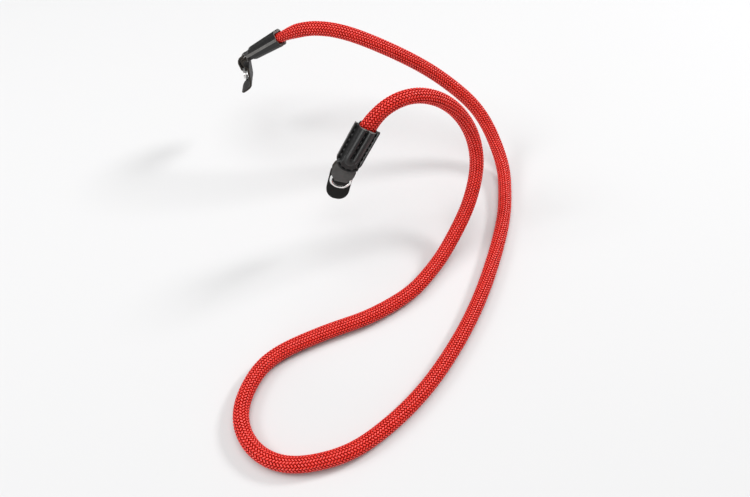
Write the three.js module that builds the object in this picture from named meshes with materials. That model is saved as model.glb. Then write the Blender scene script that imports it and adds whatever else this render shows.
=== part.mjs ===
import * as THREE from 'three';

// A neck strap of round braided rope. Each end of the rope is sewn between two leather panels,
// and a leather tab folded through a split ring is sewn in with it.
// +Z is up, +X runs from the far ring to the near ring, and the origin is the near ring's centre.

// Driving dimensions in millimetres, angles in degrees.
const ROPE_DIAMETER = 11;
const ROPE_SIDES = 12;
const ROPE_STEPS = 80;
const ROPE_TUCK = 25;
const PRESSED_WIDTH = 12.4;
const PRESSED_THICKNESS = 7.8;
const PRESSED_TIP = 6;
const PRESS_RUN = 20;
const BEND_FROM = 2;

const WRAP_LENGTH = 36;
const WRAP_WIDTH = 19;
const WRAP_ROUND = 8;
const LEATHER = 1;
const SEAM_GAP = 0.3;
const ROPE_LIFT = 4.2;
const ROPE_BULGE_HALF = 7.3;
const STACK_LIFT = 2.65;
const STACK_BULGE_HALF = 12;
const BULGE_FLAT_SHARE = 0.72;
const BULGE_NARROWS_AT = 2;
const RIB_HEIGHT = 0.5;
const RIB_SPREAD = 3.4;
const RIB_WIDTH = 1.5;
const RIB_BEND_AT = 13.5;
const PANEL_STATIONS = [0.1, 0.6, 1.6, 3, 4.6, 6.4, 8, 10, 12.5, 16, 22, 29, WRAP_LENGTH];
const PANEL_SHARES = [0, 0.17, 0.34, 0.5, 0.62, 0.74, 0.87, 1];

const TAB_THICKNESS = 1.4;
const TAB_REACH = 13;
const TAB_TUCK = 7;
const TAB_HALF_TUCKED = 5;
const TAB_HALF_WIDE = 8.3;
const TAB_HALF_FOLD = 4.2;
const TAB_WIDE_FROM = -3;
const LEG_SPREAD = 2.15;
const FRONT_LEG_OFFSET = 1.7;
const SPREAD_RUN = 5;
const TWIST_FROM = 8;
const STRIP_SHARES = [-1, -0.5, 0, 0.5, 1];
const LEG_STATIONS = [TAB_TUCK, 4.5, 2, 0, -1.25, -2.5, -3.75, -SPREAD_RUN, -7.5];
const FOLD_ANGLES = [0, 30, 60, 90, 120, 150, 180];
const PAD_REACH = 35;
const PAD_HALF = 8.5;
const PAD_OFFSET = 1.8;
const PAD_CURL_RUN = 12;
const PAD_STATIONS = [0.15, 1, 2.5, 5, PAD_HALF, 16, 24];

const RING_RADIUS = 7.2;
const WIRE_RADIAL = 1.6;
const WIRE_AXIAL = 0.95;
const TURN_STEP = 1.06;
const WIRE_CORNER = 0.3;
const RING_STEPS = 44;
const JOG_AT = -40;
const JOG_HALF = 25;

// How each end hangs: the ring's centre, the turn about Z, the tilt in the plane of the ring,
// then how far and to which side the wrap leans over, the wrap's height above the ring's centre,
// the length of strap that takes up the bend, the twist between ring and wrap, and how far the
// pad's lower end curls forward.
const ENDS = [
  {
    name: 'near', ring: [0, 0, 0], turn: 51, tilt: 12.5,
    lean: 24, side: 37, rise: 13, bend: 6, twist: 0, curl: 3.5,
  },
  {
    name: 'far', ring: [-144, 0, 0], turn: -32, tilt: -5,
    lean: 56, side: 11, rise: 15.5, bend: 7.5, twist: -30, curl: 9,
  },
];

// The rope's middle line between the two wraps, from the far one to the near one: x, y, z.
// It arches over from both ends and lies on a level surface in between.
const LYING = -56.5;
const ROUTE = [
  [-114, 38, 42.5], [-104, 49.5, 45.5], [-90, 64.5, 44], [-65, 92.5, 30], [-42, 120, 9], [-18, 142, -16.5],
  [-4, 148, -31.5], [11, 148, -44], [29, 142, -52.5], [48, 128, -56],
  [66, 111, LYING], [95, 74, LYING], [118, 38, LYING], [135, 3, LYING], [147, -31, LYING],
  [153, -64, LYING], [153, -96, LYING], [143, -124, LYING], [133, -137, LYING],
  [120, -144.5, LYING], [103, -146, LYING], [88, -140, LYING], [77, -128, LYING],
  [69, -113, LYING], [67, -96, LYING], [71.5, -63, LYING], [79, -28, LYING], [79.5, 9, LYING],
  [74.5, 28, -56], [68.5, 46, -53.5], [55, 77, -37.5], [47.5, 89, -25.5], [38.5, 98.5, -12.5],
  [31, 101, 1], [24, 99, 15], [16.5, 89.5, 33.5], [10, 72, 50], [5.7, 54, 56.5], [3, 35, 53],
];

const red = { color: 0xc0202a, roughness: 0.7, metalness: 0 };
const black = { color: 0x1c1b1b, roughness: 0.55, metalness: 0 };
const steel = { color: 0xc9cbcd, roughness: 0.25, metalness: 1 };

const UP = new THREE.Vector3(0, 0, 1);
const { clamp, lerp, smoothstep, degToRad } = THREE.MathUtils;

function namedMesh(name, geometry, look) {
  const mesh = new THREE.Mesh(geometry, new THREE.MeshStandardMaterial(look));
  mesh.name = name;
  return mesh;
}

// A closed wall between two sheets of points of the same size, sheet[row][column].
function closedWall(first, second) {
  const rows = first.length;
  const columns = first[0].length;
  const positions = [...first.flat(), ...second.flat()].flatMap((p) => [p.x, p.y, p.z]);
  const at = (sheet, row, column) => (sheet * rows + row) * columns + column;
  const faces = [];
  const quad = (a, b, c, d) => faces.push(a, b, c, a, c, d);
  for (let r = 0; r + 1 < rows; r += 1) {
    for (let c = 0; c + 1 < columns; c += 1) {
      quad(at(0, r, c), at(0, r, c + 1), at(0, r + 1, c + 1), at(0, r + 1, c));
      quad(at(1, r, c), at(1, r + 1, c), at(1, r + 1, c + 1), at(1, r, c + 1));
    }
    const end = columns - 1;
    quad(at(0, r, 0), at(0, r + 1, 0), at(1, r + 1, 0), at(1, r, 0));
    quad(at(0, r, end), at(1, r, end), at(1, r + 1, end), at(0, r + 1, end));
  }
  for (let c = 0; c + 1 < columns; c += 1) {
    const end = rows - 1;
    quad(at(0, 0, c), at(1, 0, c), at(1, 0, c + 1), at(0, 0, c + 1));
    quad(at(0, end, c), at(0, end, c + 1), at(1, end, c + 1), at(1, end, c));
  }
  const geometry = new THREE.BufferGeometry();
  geometry.setAttribute('position', new THREE.Float32BufferAttribute(positions, 3));
  geometry.setIndex(faces);
  geometry.computeVertexNormals();
  return geometry;
}

// Half the panel's width at a distance from the tip of its round end.
function panelHalf(along) {
  const short = 1 - Math.min(along / WRAP_ROUND, 1);
  return (WRAP_WIDTH / 2) * Math.sqrt(1 - short * short);
}

// How far the leather stands off the seam: over the tab and pad at the round end, and ever
// further over the rope towards the mouth.
function panelLift(across, along) {
  const height = lerp(STACK_LIFT, ROPE_LIFT, along / WRAP_LENGTH);
  const half = lerp(STACK_BULGE_HALF, ROPE_BULGE_HALF, smoothstep(along, BULGE_NARROWS_AT, TAB_TUCK));
  return SEAM_GAP / 2 + height * (1 - smoothstep(Math.abs(across), half * BULGE_FLAT_SHARE, half));
}

// The leather is thicker along a raised rib, shaped like a U round the stitched middle groove.
function panelThickness(across, along) {
  const fromRib = Math.hypot(across, Math.min(0, along - RIB_BEND_AT)) - RIB_SPREAD;
  return LEATHER + RIB_HEIGHT * Math.exp(-((fromRib / RIB_WIDTH) ** 2));
}

// One panel of the wrap: side -1 is the front one, side 1 the back one.
function panelGeometry(side) {
  const across = [...PANEL_SHARES.slice(1).reverse().map((share) => -share), ...PANEL_SHARES];
  const sheet = (grow) => PANEL_STATIONS.map((v) => across.map((share) => {
    const x = share * panelHalf(v);
    return new THREE.Vector3(x, side * (panelLift(x, v) + grow * panelThickness(x, v)), v);
  }));
  const inner = sheet(0);
  const outer = sheet(1);
  return side < 0 ? closedWall(outer, inner) : closedWall(inner, outer);
}

// The strap between ring and wrap twists and leans over: maps a straight point to the bent one.
function bendPoint(end, straightPoint) {
  const twist = degToRad(end.twist) * smoothstep(straightPoint.z, TWIST_FROM, end.rise);
  const point = straightPoint.clone().applyAxisAngle(UP, twist);
  const lean = degToRad(end.lean);
  const side = degToRad(end.side);
  const toward = new THREE.Vector3(Math.sin(side), Math.cos(side), 0);
  const beside = new THREE.Vector3(Math.cos(side), -Math.sin(side), 0);
  const radius = end.bend / lean;
  const past = point.z - (end.rise - end.bend);
  const angle = clamp(past / end.bend, 0, 1) * lean;
  const beyond = Math.max(past - end.bend, 0);
  const q = point.dot(toward);
  const out = radius - (radius - q) * Math.cos(angle) + beyond * Math.sin(lean);
  const straight = point.z - Math.max(past, 0);
  const up = straight + (radius - q) * Math.sin(angle) + beyond * Math.cos(lean);
  return toward.multiplyScalar(out).addScaledVector(beside, point.dot(beside)).setZ(up);
}

// A flat strip of leather along a line in the Y-Z plane; each stop has y, z and half its width.
function strip(end, stops) {
  const sheet = (grow) => stops.map((stop, i) => {
    const before = stops[Math.max(i - 1, 0)];
    const after = stops[Math.min(i + 1, stops.length - 1)];
    const way = new THREE.Vector2(after.y - before.y, after.z - before.z).normalize();
    const y = stop.y - (grow * way.y * TAB_THICKNESS) / 2;
    const z = stop.z + (grow * way.x * TAB_THICKNESS) / 2;
    const across = STRIP_SHARES.map((share) => new THREE.Vector3(share * stop.half, y, z + end.rise));
    return across.map((point) => bendPoint(end, point));
  });
  return closedWall(sheet(1), sheet(-1));
}

// Half the tab's width: a narrow tongue in the wrap, wide below it, narrow at the fold.
function tabHalf(z) {
  const upper = lerp(TAB_HALF_WIDE, TAB_HALF_TUCKED, smoothstep(z, 0, TAB_TUCK));
  return lerp(TAB_HALF_FOLD, upper, smoothstep(z, -TAB_REACH, TAB_WIDE_FROM));
}

// How far the legs of the tab have spread apart at a height, as a share.
function legSpread(z) {
  return 1 - smoothstep(z, -SPREAD_RUN, 0);
}

// The tab: down behind the ring's wire, round the fold and up in front of it.
function tabGeometry(end) {
  const stop = (y, z) => ({ y, z, half: tabHalf(z) });
  const back = LEG_STATIONS.map((z) => stop(LEG_SPREAD * legSpread(z), z));
  const front = LEG_STATIONS.map((z) => stop(-lerp(FRONT_LEG_OFFSET, LEG_SPREAD, legSpread(z)), z));
  const foldAt = LEG_SPREAD + TAB_THICKNESS / 2 - TAB_REACH;
  const fold = FOLD_ANGLES.map(degToRad).map((angle) => (
    stop(LEG_SPREAD * Math.cos(angle), foldAt - LEG_SPREAD * Math.sin(angle))
  ));
  return strip(end, [...back, ...fold, ...front.reverse()]);
}

// The pad: a tongue with a round lower end that hangs behind the tab and the ring.
function padGeometry(end) {
  const lower = PAD_STATIONS.map((height) => {
    const short = 1 - Math.min(height / PAD_HALF, 1);
    return { z: height - PAD_REACH, half: PAD_HALF * Math.sqrt(1 - short * short) };
  });
  const upper = [...LEG_STATIONS].reverse().map((z) => (
    { z, half: z < -SPREAD_RUN ? PAD_HALF : tabHalf(z) }
  ));
  const stops = [...lower, ...upper].map((stop) => {
    const curl = 1 - smoothstep(stop.z, -PAD_REACH, PAD_CURL_RUN - PAD_REACH);
    return { ...stop, y: PAD_OFFSET + LEG_SPREAD * legSpread(stop.z) - end.curl * curl };
  });
  return strip(end, stops);
}

// The middle line of the ring's wire: one flat turn, a short jog, then a second flat turn.
class SplitRingLine extends THREE.Curve {
  getPoint(t, target = new THREE.Vector3()) {
    const turned = lerp(JOG_HALF, 720 - JOG_HALF, t);
    const angle = degToRad(turned + JOG_AT);
    const level = TURN_STEP * (smoothstep(turned, 360 - JOG_HALF, 360 + JOG_HALF) - 0.5);
    return target.set(RING_RADIUS * Math.cos(angle), level, RING_RADIUS * Math.sin(angle));
  }
}

function ringGeometry() {
  const a = WIRE_AXIAL / 2;
  const r = WIRE_RADIAL / 2;
  const c = WIRE_CORNER;
  const corners = [
    [a, r - c], [a - c, r], [c - a, r], [-a, r - c],
    [-a, c - r], [c - a, -r], [a - c, -r], [a, c - r],
  ];
  const section = new THREE.Shape(corners.map(([x, y]) => new THREE.Vector2(x, y)));
  const options = { steps: RING_STEPS, bevelEnabled: false, extrudePath: new SplitRingLine() };
  return new THREE.ExtrudeGeometry(section, options);
}

// One end of the strap, standing on its ring; the wrap is a group of its own, leaning over.
function strapEnd(end) {
  const group = new THREE.Group();
  group.position.set(...end.ring);
  group.rotation.set(0, degToRad(end.tilt), degToRad(end.turn), 'ZYX');
  group.add(namedMesh(`${end.name}_ring`, ringGeometry(), steel));
  group.add(namedMesh(`${end.name}_tab`, tabGeometry(end), black));
  group.add(namedMesh(`${end.name}_pad`, padGeometry(end), black));
  const side = degToRad(end.side);
  const wrap = new THREE.Group();
  wrap.position.copy(bendPoint(end, new THREE.Vector3(0, 0, end.rise)));
  const leanAxis = new THREE.Vector3(-Math.cos(side), Math.sin(side), 0);
  wrap.quaternion.setFromAxisAngle(leanAxis, degToRad(end.lean));
  wrap.rotateZ(degToRad(end.twist));
  wrap.add(namedMesh(`${end.name}_wrap_front`, panelGeometry(-1), black));
  wrap.add(namedMesh(`${end.name}_wrap_back`, panelGeometry(1), black));
  group.add(wrap);
  return { group, wrap };
}

// The rope's points in one wrap, from its hidden tip to where it starts to bend inside the mouth.
function tuckedPoints(wrap) {
  const depths = [ROPE_TUCK, (ROPE_TUCK + BEND_FROM) / 2, BEND_FROM];
  return depths.map((depth) => wrap.localToWorld(new THREE.Vector3(0, 0, WRAP_LENGTH - depth)));
}

// Presses the round rope flat where it runs into a wrap, measured from its own middle line.
function pressRope(geometry, middles, wraps) {
  const position = geometry.getAttribute('position');
  const vertex = new THREE.Vector3();
  for (let i = 0; i < position.count; i += 1) {
    vertex.fromBufferAttribute(position, i);
    const gap = (point) => point.distanceToSquared(vertex);
    const middle = middles.reduce((a, b) => (gap(a) < gap(b) ? a : b));
    for (const wrap of wraps) {
      const local = wrap.worldToLocal(middle.clone());
      if (Math.hypot(local.x, local.y) > ROPE_DIAMETER || local.z < 0) continue;
      const press = clamp(1 - (local.z - WRAP_LENGTH) / PRESS_RUN, 0, 1);
      const offset = wrap.worldToLocal(vertex.clone()).sub(local);
      const depth = clamp((WRAP_LENGTH - local.z) / ROPE_TUCK, 0, 1);
      const half = lerp(ROPE_DIAMETER, lerp(PRESSED_THICKNESS, PRESSED_TIP, depth), press) / 2;
      offset.x *= lerp(1, PRESSED_WIDTH / ROPE_DIAMETER, press);
      offset.y = clamp(offset.y, -half, half);
      vertex.copy(wrap.localToWorld(local.add(offset)));
    }
    position.setXYZ(i, vertex.x, vertex.y, vertex.z);
  }
  return geometry;
}

function ropeGeometry(nearWrap, farWrap) {
  const route = ROUTE.map((p) => new THREE.Vector3(...p));
  const line = [...tuckedPoints(farWrap), ...route, ...tuckedPoints(nearWrap).reverse()];
  const path = new THREE.CatmullRomCurve3(line, false, 'centripetal');
  path.arcLengthDivisions = 2000;
  const section = new THREE.Shape(
    Array.from({ length: ROPE_SIDES }, (_, i) => {
      const angle = (i / ROPE_SIDES) * 2 * Math.PI;
      return new THREE.Vector2(Math.cos(angle), Math.sin(angle)).multiplyScalar(ROPE_DIAMETER / 2);
    }),
  );
  const options = { steps: ROPE_STEPS, bevelEnabled: false, extrudePath: path };
  const tube = new THREE.ExtrudeGeometry(section, options);
  return pressRope(tube, path.getSpacedPoints(ROPE_STEPS), [nearWrap, farWrap]);
}

const strap = new THREE.Group();
const [near, far] = ENDS.map(strapEnd);
strap.add(near.group, far.group);
strap.updateMatrixWorld(true);
strap.add(namedMesh('rope', ropeGeometry(near.wrap, far.wrap), red));

export default strap;
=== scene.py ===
"""The looks of a neck strap: a round braided rope with stitched leather ends and split rings."""

import math

import bpy
import numpy as np
from mathutils import Matrix, Vector


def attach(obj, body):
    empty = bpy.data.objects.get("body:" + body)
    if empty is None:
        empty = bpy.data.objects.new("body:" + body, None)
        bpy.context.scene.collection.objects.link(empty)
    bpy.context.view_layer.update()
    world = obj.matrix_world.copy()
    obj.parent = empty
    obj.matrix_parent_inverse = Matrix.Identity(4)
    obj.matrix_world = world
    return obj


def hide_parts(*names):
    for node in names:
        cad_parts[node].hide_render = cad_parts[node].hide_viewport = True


# Lengths are in metres, angles in degrees and colours in linear red, green and blue,
# unless a name or a comment says otherwise.
TINY = 1e-12
FULL_TURN = 360

# The view and the floor.
CAMERA_AT = (0.2707, -0.1581, 0.3698)
CAMERA_TURN = (34.31, 0.0, 55.13)
CAMERA_LENS_MM = 31.72
CAMERA_SENSOR_MM = 36.0
FLOOR_LEVEL = -0.0621
FLOOR_RADIUS = 1.5
FLOOR_SIDES = 96
FLOOR_COLOUR = (0.66, 0.66, 0.663)
FLOOR_ROUGHNESS = 0.85

# The lamps: discs and ovals that all face one spot.
LAMP_AIM = (0.03, 0.0, -0.03)
LAMPS = (
    {"name": "left", "at": (-0.65, -0.9, 1.05), "wide": 0.6, "high": 0.6, "watts": 7.5},
    {"name": "right", "at": (0.2, 1.82, 1.23), "wide": 0.48, "high": 0.48, "watts": 26.5},
    {"name": "overhead", "at": (-0.1, 0.1, 1.6), "wide": 1.6, "high": 1.6, "watts": 19.5},
    {"name": "low", "at": (0.86, -2.0, 0.18), "wide": 1.7, "high": 0.38, "watts": 18.0},
)
ROOM_COLOUR = (1.0, 1.0, 1.0)
ROOM_STRENGTH = 0.3

# The rope.
ROPE_DIAMETER = 0.011
ROPE_TUCK = 0.025
ROPE_STEP = 0.00055
ROPE_EVENING = 0.022
CURVE_SAMPLES = 60
CORE_RADIUS = 0.0039
CORE_SIDES = 16
CORE_SKIP = 4
PRESSED_WIDTH = 0.0124
PRESSED_THICKNESS = 0.0078
PRESSED_TIP = 0.006
PRESS_RUN = 0.018
BEND_FROM = 0.002

# The braid: strands run both ways round the rope, each over two and under two of the others.
STRANDS_EACH_WAY = 16
STRANDS_PER_PIECE = 8
LAY = 0.034
BRAID_COLUMNS = 8
BRAID_RADIUS = 0.00452
WEAVE_DEPTH = 0.00058
WEAVE_ROUNDNESS = 0.35
STRAND_HALF_WIDTH = 0.00074
STRAND_HALF_THICKNESS = 0.00042
STRAND_SIDES = 6
# The light painted along a strand: the share left at its sides as painted shade, the share of its top
# that is painted fully lit, and how fast the painted light fades where it dips under.
STRAND_EDGE_SHADE = 0.15
CROWN_TOP = 0.75
CROWN_SPREAD = 0.6
# The braid's slow turning to and fro: how far in radians, and over which length.
BRAID_DRIFTS = ((0.3, 0.41), (0.2, 0.173))

# The two panels of a wrap.
WRAP_LENGTH = 0.036
WRAP_WIDTH = 0.019
WRAP_ROUND = 0.008
LEATHER = 0.001
SEAM_GAP = 0.00004
ROPE_LIFT = 0.0042
ROPE_BULGE_HALF = 0.0073
STACK_LIFT = 0.00265
STACK_BULGE_HALF = 0.012
BULGE_FLAT_SHARE = 0.72
BULGE_NARROWS_AT = 0.002
RIB_HEIGHT = 0.0014
RIB_SPREAD = 0.0026
RIB_HALF = 0.0025
RIB_ROUNDNESS = 0.8
RIB_STRETCH = 0.72
RIB_BEND_AT = 0.012
PANEL_ROWS = 64
PANEL_COLUMNS = 61
PANEL_CROWDING = 1.4
PANEL_TRIM = 0.0001
# The profile of a cut edge: share of the half thickness, and bulge as a share of the thickness.
EDGE_PROFILE = ((0.93, 0.07), (0.78, 0.13), (0.4, 0.16), (-0.4, 0.16), (-0.78, 0.13), (-0.93, 0.07))

# The tab and the pad. Heights count upward from the foot of the wrap.
STRIP_COLUMNS = 21
TAB_THICKNESS = 0.0014
TAB_REACH = 0.013
TAB_TUCK = 0.007
TAB_HALF_TUCKED = 0.005
TAB_HALF_WIDE = 0.0083
TAB_HALF_FOLD = 0.0042
TAB_WIDE_FROM = -0.003
TAB_LEGS_TO = -0.0085
TAB_LEG_ROWS = 34
TAB_FOLD_ROWS = 19
LEG_SPREAD = 0.00215
FRONT_LEG_OFFSET = 0.0017
SPREAD_RUN = 0.005
TWIST_FROM = 0.008
PAD_REACH = 0.035
PAD_HALF = 0.0085
PAD_OFFSET = 0.0018
PAD_CURL_RUN = 0.012
PAD_NARROWS_FROM = -0.0075
PAD_ROWS = 64
PAD_CROWDING = 1.5
PAD_TRIM = 0.00015

# The stitches.
STITCH_PITCH = 0.0042
STITCH_LENGTH = 0.0031
STITCH_WIDTH = 0.0012
STITCH_HEIGHT = 0.0008
STITCH_BLUNTNESS = 3.5
STITCH_ROWS = 11
STITCH_SIDES = 10
STITCH_INSET = 0.0018
STITCH_GROOVE = 0.0004
STITCH_GROOVE_WIDTH = 0.0008
SEAM_STOPS_SHORT = 0.001
SEAM_SIDE_POINTS = 40
SEAM_BOW_POINTS = 60
MIDDLE_SEAM = (0.0115, 0.0345)
MIDDLE_GROOVE = 0.0008

# The split rings.
RING_RADIUS = 0.0072
WIRE_RADIAL = 0.0016
WIRE_AXIAL = 0.00095
WIRE_SQUARENESS = 0.6
TURN_STEP = 0.00106
JOG_AT = -40
JOG_HALF = 25
RING_STEPS = 180
RING_SIDES = 14

# Each end: its ring's place, turn and tilt, how far the wrap leans and to which side, how high its foot
# rises, the run over which the strap bends there, the wrap's twist, and how far the pad curls.
ENDS = (
    {
        "name": "near", "ring": (0.0, 0.0, 0.0), "turn": 51, "tilt": 12.5, "lean": 24,
        "side": 37, "rise": 0.013, "bend": 0.006, "twist": 0, "curl": 0.0035,
    },
    {
        "name": "far", "ring": (-0.144, 0.0, 0.0), "turn": -32, "tilt": -5, "lean": 56,
        "side": 11, "rise": 0.0155, "bend": 0.0075, "twist": -30, "curl": 0.009,
    },
)

# The rope's middle line from the far wrap to the near one: x, y, z.
LYING = -0.0565
ROUTE = (
    (-0.114, 0.038, 0.0425), (-0.104, 0.0495, 0.0455), (-0.09, 0.0645, 0.044),
    (-0.065, 0.0925, 0.03), (-0.042, 0.12, 0.009), (-0.018, 0.142, -0.0165),
    (-0.004, 0.148, -0.0315),
    (0.011, 0.148, -0.044), (0.029, 0.142, -0.0525), (0.048, 0.128, -0.056),
    (0.066, 0.111, LYING), (0.095, 0.074, LYING), (0.118, 0.038, LYING),
    (0.135, 0.003, LYING), (0.147, -0.031, LYING), (0.153, -0.064, LYING),
    (0.153, -0.096, LYING), (0.143, -0.124, LYING), (0.133, -0.137, LYING),
    (0.12, -0.1445, LYING), (0.103, -0.146, LYING), (0.088, -0.14, LYING),
    (0.077, -0.128, LYING), (0.069, -0.113, LYING), (0.067, -0.096, LYING),
    (0.0715, -0.063, LYING), (0.079, -0.028, LYING), (0.0795, 0.009, LYING),
    (0.0745, 0.028, -0.056), (0.0685, 0.046, -0.0535), (0.055, 0.077, -0.0375),
    (0.0475, 0.089, -0.0255), (0.0385, 0.0985, -0.0125), (0.031, 0.101, 0.001),
    (0.024, 0.099, 0.015), (0.0165, 0.0895, 0.0335), (0.01, 0.072, 0.05),
    (0.0057, 0.054, 0.0565), (0.003, 0.035, 0.053),
)

# The look of the rope. The pattern of the fibres is stretched by three numbers: along a strand,
# round it, and from strand to strand.
# The yarn is painted from YARN_SHADED, as shade where strands dip under and at their sides, to
# YARN_BRIGHT on their lit crowns.
YARN_SHADED = (0.08, 0.0002, 0.0002)
YARN_BRIGHT = (0.93, 0.026, 0.013)
YARN_SHINE_FROM = 0.45
YARN_ROUGHNESS = 0.36
FIBRE_STRETCH = (260.0, 22.0, 7.3)
FIBRE_NOISE = {"Scale": 1.0, "Detail": 2.0, "Roughness": 0.6}
FIBRE_SHADE = 0.8
FIBRE_DEPTH = 0.00012
FIBRE_STRENGTH = 0.6
# The filling's colours are the yarn's red with deep shade painted in, for the gaps between strands.
FILLING_DARK = (0.05, 0.0005, 0.0005)
FILLING_LIGHT = (0.09, 0.001, 0.001)
FILLING_NOISE = {"Scale": 900.0, "Detail": 2.0}
FILLING_ROUGHNESS = 0.9

# The looks of the leather: two tones, the roughness, the strength of the grain, and the gloss.
LEATHERS = {
    "leather_face": {
        "dark": (0.003, 0.003, 0.003), "light": (0.008, 0.0078, 0.0077),
        "rough": 0.33, "grain": 0.3, "gloss": 0.42,
    },
    "leather_tab": {
        "dark": (0.024, 0.0235, 0.023), "light": (0.1, 0.098, 0.095),
        "rough": 0.55, "grain": 0.6, "gloss": 0.3,
    },
    "leather_pad": {
        "dark": (0.004, 0.004, 0.004), "light": (0.012, 0.0118, 0.0116),
        "rough": 0.45, "grain": 0.4, "gloss": 0.15,
    },
    # The cut edge has a lighter tone of its own, raised further to paint a highlight along the edge.
    "leather_cut_edge": {
        "dark": (0.1, 0.0975, 0.094), "light": (0.19, 0.185, 0.178),
        "rough": 0.75, "grain": 0.5, "gloss": 0.15,
    },
    "leather_raw_edge": {
        "dark": (0.024, 0.021, 0.018), "light": (0.05, 0.043, 0.036),
        "rough": 0.75, "grain": 0.5, "gloss": 0.15,
    },
}
TONE_NOISE = {"Scale": 210.0, "Detail": 5.0, "Roughness": 0.6}
PORE_CELLS = {"Scale": 2100.0}
PORE_DEPTH = 0.00012
CREASE_NOISE = {"Scale": 900.0, "Detail": 4.0, "Roughness": 0.65, "Distortion": 0.6}
CREASE_DEPTH = 0.00016
SMOOTHER_BY = 0.08
ROUGHER_BY = 0.12

# The looks of the sewing thread and of the rings' wire.
THREAD_DARK = (0.002, 0.002, 0.002)
THREAD_LIGHT = (0.006, 0.006, 0.006)
THREAD_NOISE = {"Scale": 2600.0, "Detail": 2.0}
THREAD_ROUGHNESS = 0.8
THREAD_GLOSS = 0.08
THREAD_DEPTH = 0.0001
THREAD_STRENGTH = 0.5
STEEL_COLOUR = (0.8, 0.8, 0.79)
STEEL_NOISE = {"Scale": 700.0, "Detail": 4.0, "Roughness": 0.7}
STEEL_SMOOTHEST = 0.1
STEEL_ROUGHEST = 0.3


def lerp(low, high, share):
    """The value at a share of the way from low to high."""
    return low + (high - low) * share


def smoothstep(value, low, high):
    """Rises from 0 at low to 1 at high, and is level at both ends."""
    share = np.clip((value - low) / (high - low), 0.0, 1.0)
    return share * share * (3.0 - 2.0 * share)


def crowded(low, high, count, crowding):
    """Values from low to high that lie closer together near low."""
    return lerp(low, high, np.linspace(0.0, 1.0, count) ** crowding)


def round_angles(count):
    """Even steps round a full circle, in radians."""
    return np.arange(count) / count * 2 * math.pi


def unit(vectors):
    """The vectors made one unit long."""
    return vectors / np.maximum(np.linalg.norm(vectors, axis=-1, keepdims=True), TINY)


def place(matrix, points):
    """The points moved by a matrix."""
    m = np.array(matrix)
    return points @ m[:3, :3].T + m[:3, 3]


def add_camera():
    """The view of the photograph."""
    data = bpy.data.cameras.new("camera")
    data.lens = CAMERA_LENS_MM
    data.sensor_fit = "HORIZONTAL"
    data.sensor_width = CAMERA_SENSOR_MM
    camera = bpy.data.objects.new("camera", data)
    camera.location = CAMERA_AT
    camera.rotation_euler = [math.radians(angle) for angle in CAMERA_TURN]
    bpy.context.scene.collection.objects.link(camera)
    bpy.context.scene.camera = camera


def end_matrix(end):
    """The frame of an end's ring: its place, turned and tilted."""
    turn = Matrix.Rotation(math.radians(end["turn"]), 4, "Z")
    tilt = Matrix.Rotation(math.radians(end["tilt"]), 4, "Y")
    return Matrix.Translation(end["ring"]) @ turn @ tilt


def bend_points(end, points):
    """Maps points of a straight strap to the twisted and leaning one, in the end's own frame."""
    x, y, z = points[..., 0], points[..., 1], points[..., 2]
    twist = math.radians(end["twist"]) * smoothstep(z, TWIST_FROM, end["rise"])
    turned_x = x * np.cos(twist) - y * np.sin(twist)
    turned_y = x * np.sin(twist) + y * np.cos(twist)
    lean = math.radians(end["lean"])
    side = math.radians(end["side"])
    radius = end["bend"] / lean
    past = z - (end["rise"] - end["bend"])
    angle = np.clip(past / end["bend"], 0.0, 1.0) * lean
    beyond = np.maximum(past - end["bend"], 0.0)
    toward = turned_x * math.sin(side) + turned_y * math.cos(side)
    beside = turned_x * math.cos(side) - turned_y * math.sin(side)
    out = radius - (radius - toward) * np.cos(angle) + beyond * math.sin(lean)
    up = z - np.maximum(past, 0.0) + (radius - toward) * np.sin(angle) + beyond * math.cos(lean)
    bent_x = math.sin(side) * out + math.cos(side) * beside
    bent_y = math.cos(side) * out - math.sin(side) * beside
    return np.stack((bent_x, bent_y, up), -1)


def wrap_matrix(end):
    """The frame of an end's wrap: its foot at the origin, its length along Z and its front toward -Y."""
    foot = bend_points(end, np.array((0.0, 0.0, end["rise"])))
    side = math.radians(end["side"])
    axis = Vector((-math.cos(side), math.sin(side), 0.0))
    lean = Matrix.Rotation(math.radians(end["lean"]), 4, axis)
    twist = Matrix.Rotation(math.radians(end["twist"]), 4, "Z")
    return end_matrix(end) @ Matrix.Translation(foot) @ lean @ twist


def add_piece(name, points, faces, looks, nodes=(), face_looks=None):
    """A smooth mesh that belongs to the object and stands for some of its CAD nodes."""
    mesh = bpy.data.meshes.new(name)
    mesh.from_pydata(points.reshape(-1, 3).tolist(), [], faces.tolist(), shade_flat=False)
    for look in looks:
        mesh.materials.append(look)
    if face_looks is not None:
        mesh.polygons.foreach_set("material_index", face_looks)
    piece = bpy.data.objects.new(name, mesh)
    bpy.context.scene.collection.objects.link(piece)
    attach(piece, "root")
    if nodes:
        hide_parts(*nodes)
    return piece


def add_point_values(piece, name, kind, key, values):
    """Stores a value at each point of a piece, for its look to read."""
    piece.data.attributes.new(name, kind, "POINT").data.foreach_set(key, values.ravel())


def grid_faces(rows, columns, closed=False):
    """Quads of a grid of points; the columns join up where the grid is closed."""
    row = np.arange(rows - 1)[:, None] * columns
    column = np.arange(columns if closed else columns - 1)[None]
    after = (column + 1) % columns
    quads = (row + column, row + after, row + columns + after, row + columns + column)
    return np.stack(quads, -1).reshape(-1, 4)


def run_along(line):
    """The length of a line from its start to each of its points."""
    return np.concatenate(((0.0,), np.cumsum(np.linalg.norm(np.diff(line, axis=0), axis=1))))


def at_run(line, run, at):
    """The points of a line at some lengths along it."""
    return np.stack([np.interp(at, run, values) for values in line.T], -1)


def between(first, second, start, stop, at):
    """The point between two others that lies as far along as a time does between start and stop."""
    return (stop - at) / (stop - start) * first + (at - start) / (stop - start) * second


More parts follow.
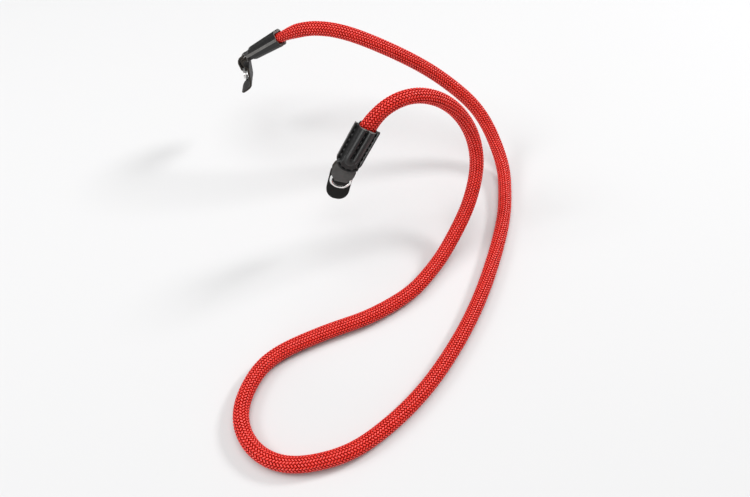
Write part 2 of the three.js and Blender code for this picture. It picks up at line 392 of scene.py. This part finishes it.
def curve_stretch(before, start, stop, after):
    """A smooth curve from start to stop that fits the stretches on either side of it."""
    knots = (before, start, stop, after)
    gaps = [math.sqrt(np.linalg.norm(b - a)) for a, b in zip(knots, knots[1:])]
    t0, t1, t2, t3 = np.concatenate(((0.0,), np.cumsum(gaps)))
    at = np.linspace(t1, t2, CURVE_SAMPLES, endpoint=False)[:, None]
    first = between(before, start, t0, t1, at)
    second = between(start, stop, t1, t2, at)
    third = between(stop, after, t2, t3, at)
    return between(between(first, second, t0, t2, at), between(second, third, t1, t3, at), t1, t2, at)


def even_steps(curve):
    """The curve at even steps along it."""
    run = run_along(curve)
    return at_run(curve, run, np.linspace(0.0, run[-1], int(run[-1] / ROPE_STEP) + 1))


def blended(line):
    """Each point as a weighted mean of those near it along the line. Both ends stay in place."""
    reach = int(ROPE_EVENING / ROPE_STEP)
    weights = np.hanning(2 * reach + 1)
    weights = weights / weights.sum()
    before = 2 * line[0] - line[reach:0:-1]
    after = 2 * line[-1] - line[-2:-reach - 2:-1]
    longer = np.vstack((before, line, after))
    return np.stack([np.convolve(values, weights, "valid") for values in longer.T], -1)


def even_bends(line):
    """Spreads each bend over a short stretch. The second pass puts back what the first cut off."""
    once = blended(line)
    return once + blended(line - once)


def rope_line():
    """The rope's middle line, through both wraps and the route between them, and the length along it."""
    heights = WRAP_LENGTH - np.array((ROPE_TUCK, (ROPE_TUCK + BEND_FROM) / 2, BEND_FROM))
    tucked = np.stack((0 * heights, 0 * heights, heights), -1)
    near, far = (place(wrap_matrix(end), tucked) for end in ENDS)
    knots = np.vstack((far, ROUTE, near[::-1]))
    knots = np.vstack((2 * knots[0] - knots[1], knots, 2 * knots[-1] - knots[-2]))
    stretches = [curve_stretch(*four) for four in zip(knots, knots[1:], knots[2:], knots[3:])]
    line = even_bends(even_steps(np.vstack((*stretches, knots[-2]))))
    return run_along(line), line


def line_frames(line):
    """Two directions across the line that turn with it as little as they can."""
    ways = unit(np.gradient(line, axis=0))
    first = np.cross(ways[0], (0.0, 0.0, 1.0))
    across = []
    for way in ways:
        first = unit(first - way * np.dot(first, way))
        across.append(first)
    across = np.array(across)
    return across, np.cross(ways, across)


def press_rope(points, centres):
    """Presses the rope flat where it goes into a wrap."""
    for end in ENDS:
        matrix = wrap_matrix(end)
        local = place(matrix.inverted(), centres)
        inside = (np.hypot(local[:, 0], local[:, 1]) < ROPE_DIAMETER) & (local[:, 2] > 0.0)
        press = smoothstep((WRAP_LENGTH - local[:, 2]) / PRESS_RUN, -1.0, 0.0) * inside
        depth = np.clip((WRAP_LENGTH - local[:, 2]) / ROPE_TUCK, 0.0, 1.0)
        thickness = lerp(PRESSED_THICKNESS, PRESSED_TIP, depth) / ROPE_DIAMETER
        grow = np.ones((len(centres), 3))
        grow[:, 0] = lerp(1.0, PRESSED_WIDTH / ROPE_DIAMETER, press)
        grow[:, 1] = lerp(1.0, thickness, press)
        turn = np.array(matrix)[:3, :3]
        offset = (points - centres[:, None]) @ turn
        points = centres[:, None] + (offset * grow[:, None]) @ turn.T
    return points


def add_core(line, look):
    """The rope's filling under the strands, which takes the place of the CAD model's rope."""
    across, over = line_frames(line)
    angles = round_angles(CORE_SIDES)
    spokes = np.cos(angles)[:, None] * across[:, None] + np.sin(angles)[:, None] * over[:, None]
    points = press_rope(line[:, None] + CORE_RADIUS * spokes, line)
    faces = grid_faces(len(line), CORE_SIDES, True)
    return add_piece("rope_core", points, faces, [look], ["rope"])


def strand(along, line, across, over, index, way):
    """One strand of the braid: its surface points and the light painted on them, from 0 in painted shade
    to 1 on a lit crown.

    Strands that run the second way start half a place beside those that run the first way.
    """
    start = index if way > 0 else index - 0.5
    column = 2 * math.pi * (start / STRANDS_EACH_WAY + way * along / LAY)
    wave = way * np.cos(BRAID_COLUMNS * column)
    lift = wave * np.sqrt((1 + WEAVE_ROUNDNESS) / (wave * wave + WEAVE_ROUNDNESS))
    angle = column + sum(far * np.sin(2 * math.pi * along / run) for far, run in BRAID_DRIFTS)
    out = np.cos(angle)[:, None] * across + np.sin(angle)[:, None] * over
    middle = line + (BRAID_RADIUS + WEAVE_DEPTH * lift)[:, None] * out
    beside = unit(np.cross(out, unit(np.gradient(middle, axis=0))))
    turns = round_angles(STRAND_SIDES)
    wide = STRAND_HALF_WIDTH * np.cos(turns)[:, None] * beside[:, None]
    thick = STRAND_HALF_THICKNESS * np.sin(turns)[:, None] * out[:, None]
    # Painted light: the strand is painted dark where it dips under the others and along its sides, as
    # shade, and bright on its crowns.
    crown = np.clip(wave, 0.0, 1.0)[:, None] ** CROWN_SPREAD
    painted_light = crown * lerp(STRAND_EDGE_SHADE, 1.0, np.minimum(np.sin(turns) ** 2 / CROWN_TOP, 1.0))
    return middle[:, None] + wide + thick, painted_light


def fibre_places(along, first, count):
    """For each point of some strands: how far along it lies, how far round, and in which strand."""
    places = np.zeros((count, len(along), STRAND_SIDES, 3))
    places[..., 0] = along[:, None]
    places[..., 1] = np.abs(np.arange(STRAND_SIDES) / STRAND_SIDES - 0.5)
    places[..., 2] = np.arange(first, first + count)[:, None, None]
    return places


def add_strands(along, line, look):
    """The braid, in a few pieces of several strands each."""
    across, over = line_frames(line)
    strands = [(index, way) for way in (1, -1) for index in range(STRANDS_EACH_WAY)]
    quads = grid_faces(len(line), STRAND_SIDES, True)
    pieces = []
    for first in range(0, len(strands), STRANDS_PER_PIECE):
        chosen = strands[first:first + STRANDS_PER_PIECE]
        made = [strand(along, line, across, over, index, way) for index, way in chosen]
        points = np.concatenate([press_rope(surface, line) for surface, _ in made])
        faces = np.concatenate([quads + k * len(line) * STRAND_SIDES for k in range(len(made))])
        name = f"rope_strands_{first // STRANDS_PER_PIECE + 1}"
        piece = add_piece(name, points, faces, [look], ["rope"])
        add_point_values(piece, "painted_light", "FLOAT", "value", np.concatenate([painted_light for _, painted_light in made]))
        add_point_values(piece, "fibre", "FLOAT_VECTOR", "vector", fibre_places(along, first, len(made)))
        pieces.append(piece)
    return pieces


def add_rope():
    """The braided rope, built along one line from the far wrap to the near one."""
    along, line = rope_line()
    core_line = line[::CORE_SKIP]
    core = add_core(core_line, filling_look())
    strands = add_strands(along, line, yarn_look())


def rim_loop(rows, columns):
    """The rows and the columns of the points round the rim of a grid, in order."""
    loop = [(0, column) for column in range(columns - 1)]
    loop += [(row, columns - 1) for row in range(rows - 1)]
    loop += [(rows - 1, column) for column in range(columns - 1, 0, -1)]
    loop += [(row, 0) for row in range(rows - 1, 0, -1)]
    return np.array(loop).T


def rim_ways(grid):
    """The directions that lead out of a grid of points, at the points of its rim."""
    ways = np.zeros_like(grid)
    ways[0] += unit(grid[0] - grid[1])
    ways[-1] += unit(grid[-1] - grid[-2])
    ways[:, 0] += unit(grid[:, 0] - grid[:, 1])
    ways[:, -1] += unit(grid[:, -1] - grid[:, -2])
    return unit(ways)


def rim_band(low, high):
    """Quads between two closed rows of points."""
    return np.stack((high, np.roll(high, -1), np.roll(low, -1), low), -1)


def slab(outer, inner):
    """A sheet of leather between two grids of points, with cut edges all round it.

    Returns the points, the faces and, for each face, 1 where it is on the cut edge.
    """
    rows, columns = outer.shape[:2]
    count = rows * columns
    middle = (outer + inner) / 2
    half = (outer - inner) / 2
    bulge = rim_ways(middle) * 2 * np.linalg.norm(half, axis=-1, keepdims=True)
    r, c = rim_loop(rows, columns)
    rings = [middle[r, c] + half[r, c] * level + bulge[r, c] * share for level, share in EDGE_PROFILE]
    points = np.vstack((outer.reshape(-1, 3), inner.reshape(-1, 3), *rings))
    rim = r * columns + c
    levels = [rim]
    levels += [2 * count + k * len(rim) + np.arange(len(rim)) for k in range(len(rings))]
    levels.append(rim + count)
    edge = np.vstack([rim_band(low, high) for low, high in zip(levels, levels[1:])])
    quads = grid_faces(rows, columns)
    faces = np.vstack((quads, quads[:, ::-1] + count, edge))
    # All faces are turned over where they would look into the leather.
    corner, beside, above = (points[quads[0][k]] for k in (0, 1, 3))
    if np.dot(np.cross(beside - corner, above - corner), half[0, 0]) < 0:
        faces = faces[:, ::-1]
    on_edge = np.concatenate((np.zeros(2 * len(quads), int), np.ones(len(edge), int)))
    return points, faces, on_edge


def panel_half(along):
    """Half the width of a panel, which is round at its foot."""
    short = 1 - np.minimum(along / WRAP_ROUND, 1.0)
    return WRAP_WIDTH / 2 * np.sqrt(np.maximum(1 - short * short, 0.0))


def panel_lift(across, along):
    """How far a panel's inside stands off the seam, over the rope above and the tab and pad below."""
    height = lerp(STACK_LIFT, ROPE_LIFT, along / WRAP_LENGTH)
    half = lerp(STACK_BULGE_HALF, ROPE_BULGE_HALF, smoothstep(along, BULGE_NARROWS_AT, TAB_TUCK))
    return SEAM_GAP / 2 + height * (1 - smoothstep(np.abs(across), half * BULGE_FLAT_SHARE, half))


def panel_thickness(across, along):
    """Thicker along the raised rib, and pressed in under the stitches."""
    below_bend = RIB_STRETCH * np.minimum(0.0, along - RIB_BEND_AT)
    from_rib = (np.hypot(across, below_bend) - RIB_SPREAD) / RIB_HALF
    rib = RIB_HEIGHT * np.maximum(1 - from_rib * from_rib, 0.0) ** RIB_ROUNDNESS
    short = np.maximum(0.0, 1 - along / WRAP_ROUND)
    inset = (1 - np.hypot(across / (WRAP_WIDTH / 2), short)) * WRAP_WIDTH / 2
    seam = STITCH_GROOVE * np.exp(-(((inset - STITCH_INSET) / STITCH_GROOVE_WIDTH) ** 2))
    below_seam = np.minimum(0.0, along - MIDDLE_SEAM[0])
    middle = MIDDLE_GROOVE * np.exp(-((np.hypot(across, below_seam) / STITCH_GROOVE_WIDTH) ** 2))
    return LEATHER + rib - seam - middle


def panel_points(side, across, along, share):
    """Points in a panel's leather, at a share of its thickness from its inside."""
    stand = panel_lift(across, along) + share * panel_thickness(across, along)
    return np.stack((across, side * stand, along), -1)


def add_panel(end, side, word, looks):
    """One leather panel of a wrap: side -1 is the front one, side 1 the back one."""
    along = crowded(PANEL_TRIM, WRAP_LENGTH, PANEL_ROWS, PANEL_CROWDING)[:, None]
    across = np.linspace(-1.0, 1.0, PANEL_COLUMNS) * panel_half(along)
    along = along + 0 * across
    outer = place(wrap_matrix(end), panel_points(side, across, along, 1.0))
    inner = place(wrap_matrix(end), panel_points(side, across, along, 0.0))
    points, faces, on_edge = slab(outer, inner)
    name = f"{end['name']}_wrap_{word}"
    add_piece(f"{name}_leather", points, faces, looks, [name], on_edge)


def edge_seam():
    """The edge seam in the flat panel: down one side, round the foot and up the other."""
    reach = WRAP_WIDTH / 2 - STITCH_INSET
    depth = WRAP_ROUND * reach / (WRAP_WIDTH / 2)
    down = np.linspace(WRAP_LENGTH - SEAM_STOPS_SHORT, WRAP_ROUND, SEAM_SIDE_POINTS)
    angle = np.linspace(0.0, math.pi, SEAM_BOW_POINTS)
    left = np.stack((-reach + 0 * down, down), -1)
    bow = np.stack((-reach * np.cos(angle), WRAP_ROUND - depth * np.sin(angle)), -1)
    right = np.stack((reach + 0 * down, down[::-1]), -1)
    return np.vstack((left[:-1], bow[:-1], right))


def middle_seam():
    """The straight seam in the groove between the ribs, in the flat panel."""
    return np.stack((np.zeros(2), np.array(MIDDLE_SEAM)), -1)


def stitch_places(line):
    """The tail, middle and head of each stitch along a seam in the flat panel."""
    run = run_along(line)
    count = int(run[-1] / STITCH_PITCH)
    at = (np.arange(count) + 0.5) * run[-1] / count
    return [at_run(line, run, at + shift * STITCH_LENGTH / 2) for shift in (-1, 0, 1)]


def stitch_form():
    """The points of one stitch as shares of half its length, width and height, and its faces."""
    rows = np.linspace(-1.0, 1.0, STITCH_ROWS)[:, None]
    turns = round_angles(STITCH_SIDES)[None]
    round_off = np.sqrt(1 - np.abs(rows) ** STITCH_BLUNTNESS)
    form = np.stack((rows + 0 * turns, round_off * np.cos(turns), round_off * np.sin(turns)), -1)
    return form, grid_faces(STITCH_ROWS, STITCH_SIDES, True)


def add_stitches(end, side, word, look):
    """The stitches of one panel, lying in their grooves, as one piece."""
    matrix = wrap_matrix(end)
    form, quads = stitch_form()
    points = []
    for seam in (edge_seam(), middle_seam()):
        flat = stitch_places(seam)
        tail, middle, head = (place(matrix, panel_points(side, *spots.T, 1.0)) for spots in flat)
        under = place(matrix, panel_points(side, *flat[1].T, 0.0))
        way = head - tail
        up = unit(middle - under)
        beside = unit(np.cross(up, way))
        halves = np.stack((way, beside * STITCH_WIDTH, up * STITCH_HEIGHT), 1) / 2
        points.append(middle[:, None, None] + form @ halves[:, None])
    points = np.concatenate(points)
    faces = np.concatenate([quads + k * STITCH_ROWS * STITCH_SIDES for k in range(len(points))])
    add_piece(f"{end['name']}_stitches_{word}", points, faces, [look])


def tab_half(z):
    """Half the width of a tab: narrow in the wrap and at the fold, wide between them."""
    upper = lerp(TAB_HALF_WIDE, TAB_HALF_TUCKED, smoothstep(z, 0.0, TAB_TUCK))
    return lerp(TAB_HALF_FOLD, upper, smoothstep(z, -TAB_REACH, TAB_WIDE_FROM))


def leg_spread(z):
    """How far the tab's two legs have spread below the wrap, as a share."""
    return 1 - smoothstep(z, -SPREAD_RUN, 0.0)


def add_strip(end, name, y, z, half, looks):
    """A strip of leather along a line in the end's Y-Z plane, bent and twisted with the end."""
    across = np.linspace(-1.0, 1.0, STRIP_COLUMNS) * half[:, None]
    straight = np.stack((across, y[:, None] + 0 * across, z[:, None] + end["rise"] + 0 * across), -1)
    way = unit(np.stack((np.gradient(y), np.gradient(z)), -1))
    thick = np.zeros_like(straight)
    thick[..., 1] = -way[:, 1:] * TAB_THICKNESS / 2
    thick[..., 2] = way[:, :1] * TAB_THICKNESS / 2
    outer = place(end_matrix(end), bend_points(end, straight + thick))
    inner = place(end_matrix(end), bend_points(end, straight - thick))
    points, faces, on_edge = slab(outer, inner)
    add_piece(f"{name}_leather", points, faces, looks, [name], on_edge)


def add_tab(end, looks):
    """The tab: down behind the ring's wire, round the fold and up in front of it."""
    legs = np.linspace(TAB_TUCK, TAB_LEGS_TO, TAB_LEG_ROWS)
    fold_at = LEG_SPREAD + TAB_THICKNESS / 2 - TAB_REACH
    angle = np.linspace(0.0, math.pi, TAB_FOLD_ROWS)
    back = LEG_SPREAD * leg_spread(legs)
    front = -lerp(FRONT_LEG_OFFSET, LEG_SPREAD, leg_spread(legs))
    y = np.concatenate((back, LEG_SPREAD * np.cos(angle), front[::-1]))
    z = np.concatenate((legs, fold_at - LEG_SPREAD * np.sin(angle), legs[::-1]))
    add_strip(end, f"{end['name']}_tab", y, z, tab_half(z), looks)


def add_pad(end, looks):
    """The pad: a tongue with a round lower end that hangs behind the tab and the ring."""
    height = crowded(PAD_TRIM, PAD_REACH + TAB_TUCK, PAD_ROWS, PAD_CROWDING)
    z = height - PAD_REACH
    short = 1 - np.minimum(height / PAD_HALF, 1.0)
    tongue = PAD_HALF * np.sqrt(1 - short * short)
    half = lerp(tongue, np.minimum(tab_half(z), tongue), smoothstep(z, PAD_NARROWS_FROM, -SPREAD_RUN))
    curl = 1 - smoothstep(z, -PAD_REACH, PAD_CURL_RUN - PAD_REACH)
    y = PAD_OFFSET + LEG_SPREAD * leg_spread(z) - end["curl"] * curl
    add_strip(end, f"{end['name']}_pad", y, z, half, looks)


def squared_off(wave):
    """A sine or cosine with flatter tops, which gives the wire a section with round corners."""
    return np.sign(wave) * np.abs(wave) ** WIRE_SQUARENESS


def add_ring(end, look):
    """The split ring: one flat turn of wire, a short jog, then a second flat turn."""
    turned = np.linspace(JOG_HALF, 2 * FULL_TURN - JOG_HALF, RING_STEPS)
    angle = np.radians(turned + JOG_AT)[:, None]
    level = TURN_STEP * (smoothstep(turned, FULL_TURN - JOG_HALF, FULL_TURN + JOG_HALF) - 0.5)
    sides = round_angles(RING_SIDES)
    radial = RING_RADIUS + WIRE_RADIAL / 2 * squared_off(np.cos(sides))
    axial = level[:, None] + WIRE_AXIAL / 2 * squared_off(np.sin(sides))
    points = np.stack((radial * np.cos(angle), axial, radial * np.sin(angle)), -1)
    faces = grid_faces(RING_STEPS, RING_SIDES, True)
    name = f"{end['name']}_ring"
    add_piece(f"{name}_wire", place(end_matrix(end), points), faces, [look], [name])


def add_ends():
    """Both ends of the strap: leather panels, stitches, tab, pad and ring."""
    leathers = {name: leather_look(name, **values) for name, values in LEATHERS.items()}
    thread = thread_look()
    steel = steel_look()
    for end in ENDS:
        for side, word in ((-1, "front"), (1, "back")):
            add_panel(end, side, word, [leathers["leather_face"], leathers["leather_cut_edge"]])
            add_stitches(end, side, word, thread)
        add_tab(end, [leathers["leather_tab"], leathers["leather_raw_edge"]])
        add_pad(end, [leathers["leather_pad"], leathers["leather_raw_edge"]])
        add_ring(end, steel)


def new_look(name):
    """A material, its node tree and its surface shader."""
    look = bpy.data.materials.new(name)
    look.use_nodes = True
    tree = look.node_tree
    return look, tree, tree.nodes["Principled BSDF"]


def set_inputs(node, values):
    """Sets some of a node's inputs, by their names."""
    for name, value in values.items():
        node.inputs[name].default_value = value


def opaque(colour):
    """A colour with full cover, as a node's input wants it."""
    return (*colour, 1.0)


def stored_values(tree, name):
    """The values that a piece has stored at its points under a name."""
    node = tree.nodes.new("ShaderNodeAttribute")
    node.attribute_name = name
    return node.outputs


def own_place(tree):
    """Where a point lies in its piece's own space."""
    return tree.nodes.new("ShaderNodeTexCoord").outputs["Object"]


def texture(tree, kind, at, values):
    """The outputs of a noise or cell texture that is looked up at a place."""
    node = tree.nodes.new(kind)
    set_inputs(node, values)
    tree.links.new(at, node.inputs["Vector"])
    return node.outputs


def math_result(tree, operation, *values, clamp=False):
    """The result of a calculation. Each value is a number or the output of another node."""
    node = tree.nodes.new("ShaderNodeMath")
    node.operation = operation
    node.use_clamp = clamp
    for socket, value in zip(node.inputs, values):
        if isinstance(value, float):
            socket.default_value = value
        else:
            tree.links.new(value, socket)
    return node.outputs["Value"]


def spread(tree, value, low, high, start=0.0):
    """A value between start and 1, spread out from low to high."""
    node = tree.nodes.new("ShaderNodeMapRange")
    set_inputs(node, {"From Min": start, "From Max": 1.0, "To Min": low, "To Max": high})
    tree.links.new(value, node.inputs["Value"])
    return node.outputs["Result"]


def mixed_colour(tree, factor, first, second):
    """A colour between two others."""
    mix = tree.nodes.new("ShaderNodeMix")
    mix.data_type = "RGBA"
    set_inputs(mix, {"A": opaque(first), "B": opaque(second)})
    tree.links.new(factor, mix.inputs["Factor"])
    return mix.outputs["Result"]


def bump(tree, height, depth, strength, under=None):
    """Fine relief, on top of another relief where one is given."""
    node = tree.nodes.new("ShaderNodeBump")
    set_inputs(node, {"Strength": strength, "Distance": depth})
    tree.links.new(height, node.inputs["Height"])
    if under is not None:
        tree.links.new(under, node.inputs["Normal"])
    return node.outputs["Normal"]


def yarn_look():
    """Red yarn with fine fibres along each strand, and painted light: shade painted where a strand dips
    under and along its sides, brighter on its crowns.
    """
    look, tree, shader = new_look("rope_yarn")
    stretch = tree.nodes.new("ShaderNodeVectorMath")
    stretch.operation = "MULTIPLY"
    stretch.inputs[1].default_value = FIBRE_STRETCH
    tree.links.new(stored_values(tree, "fibre")["Vector"], stretch.inputs[0])
    fibres = texture(tree, "ShaderNodeTexNoise", stretch.outputs["Vector"], FIBRE_NOISE)["Fac"]
    shade = math_result(tree, "MULTIPLY_ADD", fibres, FIBRE_SHADE, -FIBRE_SHADE / 2)
    bright = math_result(tree, "ADD", stored_values(tree, "painted_light")["Fac"], shade, clamp=True)
    tree.links.new(mixed_colour(tree, bright, YARN_SHADED, YARN_BRIGHT), shader.inputs["Base Color"])
    shine = spread(tree, bright, 0.0, 1.0, YARN_SHINE_FROM)
    tree.links.new(shine, shader.inputs["Specular IOR Level"])
    set_inputs(shader, {"Roughness": YARN_ROUGHNESS})
    tree.links.new(bump(tree, fibres, FIBRE_DEPTH, FIBRE_STRENGTH), shader.inputs["Normal"])
    return look


def filling_look():
    """The filling seen in the gaps between strands: the same red, with deep shade painted into its
    colour.
    """
    look, tree, shader = new_look("rope_filling")
    noise = texture(tree, "ShaderNodeTexNoise", own_place(tree), FILLING_NOISE)["Fac"]
    tree.links.new(mixed_colour(tree, noise, FILLING_DARK, FILLING_LIGHT), shader.inputs["Base Color"])
    set_inputs(shader, {"Roughness": FILLING_ROUGHNESS, "Specular IOR Level": 0.0})
    return look


def leather_look(name, dark, light, rough, grain, gloss):
    """Leather: fine grain, slow changes of tone, and a soft shine that varies with them."""
    look, tree, shader = new_look(name)
    at = own_place(tree)
    tone = texture(tree, "ShaderNodeTexNoise", at, TONE_NOISE)["Fac"]
    pores = texture(tree, "ShaderNodeTexVoronoi", at, PORE_CELLS)["Distance"]
    creases = texture(tree, "ShaderNodeTexNoise", at, CREASE_NOISE)["Fac"]
    tree.links.new(mixed_colour(tree, tone, dark, light), shader.inputs["Base Color"])
    shine = spread(tree, tone, rough - SMOOTHER_BY, rough + ROUGHER_BY)
    tree.links.new(shine, shader.inputs["Roughness"])
    set_inputs(shader, {"Specular IOR Level": gloss})
    under = bump(tree, pores, PORE_DEPTH, grain)
    tree.links.new(bump(tree, creases, CREASE_DEPTH, grain, under), shader.inputs["Normal"])
    return look


def thread_look():
    """Black waxed sewing thread."""
    look, tree, shader = new_look("sewing_thread")
    noise = texture(tree, "ShaderNodeTexNoise", own_place(tree), THREAD_NOISE)["Fac"]
    tree.links.new(mixed_colour(tree, noise, THREAD_DARK, THREAD_LIGHT), shader.inputs["Base Color"])
    set_inputs(shader, {"Roughness": THREAD_ROUGHNESS, "Specular IOR Level": THREAD_GLOSS})
    tree.links.new(bump(tree, noise, THREAD_DEPTH, THREAD_STRENGTH), shader.inputs["Normal"])
    return look


def steel_look():
    """Bright plated wire with faint rubbed marks."""
    look, tree, shader = new_look("ring_wire")
    noise = texture(tree, "ShaderNodeTexNoise", own_place(tree), STEEL_NOISE)["Fac"]
    shine = spread(tree, noise, STEEL_SMOOTHEST, STEEL_ROUGHEST)
    tree.links.new(shine, shader.inputs["Roughness"])
    set_inputs(shader, {"Base Color": opaque(STEEL_COLOUR), "Metallic": 1.0})
    return look


def add_floor():
    """A round sheet of pale paper that the rope lies on."""
    angles = round_angles(FLOOR_SIDES).tolist()
    rim = [(FLOOR_RADIUS * math.cos(a), FLOOR_RADIUS * math.sin(a), FLOOR_LEVEL) for a in angles]
    mesh = bpy.data.meshes.new("floor")
    mesh.from_pydata(rim, [], [tuple(range(FLOOR_SIDES))])
    look, _, shader = new_look("floor_paper")
    set_inputs(shader, {"Base Color": opaque(FLOOR_COLOUR), "Roughness": FLOOR_ROUGHNESS})
    mesh.materials.append(look)
    floor = bpy.data.objects.new("floor", mesh)
    bpy.context.scene.collection.objects.link(floor)


def add_lamp(name, at, wide, high, watts):
    """One lamp, turned to the spot that all of them face."""
    data = bpy.data.lights.new(name, "AREA")
    data.shape = "ELLIPSE"
    data.size = wide
    data.size_y = high
    data.energy = watts
    lamp = bpy.data.objects.new(name, data)
    lamp.location = at
    lamp.rotation_euler = (Vector(LAMP_AIM) - Vector(at)).to_track_quat("-Z", "Y").to_euler()
    bpy.context.scene.collection.objects.link(lamp)


def add_lights():
    """Lamps left and right, a large soft one overhead, a low one beyond the floor, and a pale room."""
    for lamp in LAMPS:
        add_lamp(**lamp)
    world = bpy.data.worlds.new("room")
    world.use_nodes = True
    background = world.node_tree.nodes["Background"]
    set_inputs(background, {"Color": opaque(ROOM_COLOUR), "Strength": ROOM_STRENGTH})
    bpy.context.scene.world = world
    bpy.context.scene.view_settings.view_transform = "Standard"


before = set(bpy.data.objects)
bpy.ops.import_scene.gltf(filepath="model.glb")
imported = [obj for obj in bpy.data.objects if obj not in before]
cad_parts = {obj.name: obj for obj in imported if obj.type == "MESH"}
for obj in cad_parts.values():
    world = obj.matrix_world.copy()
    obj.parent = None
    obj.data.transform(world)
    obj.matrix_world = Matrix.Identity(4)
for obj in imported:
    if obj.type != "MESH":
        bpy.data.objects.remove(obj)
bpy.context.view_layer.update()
add_camera()
add_rope()
add_ends()
add_floor()
add_lights()
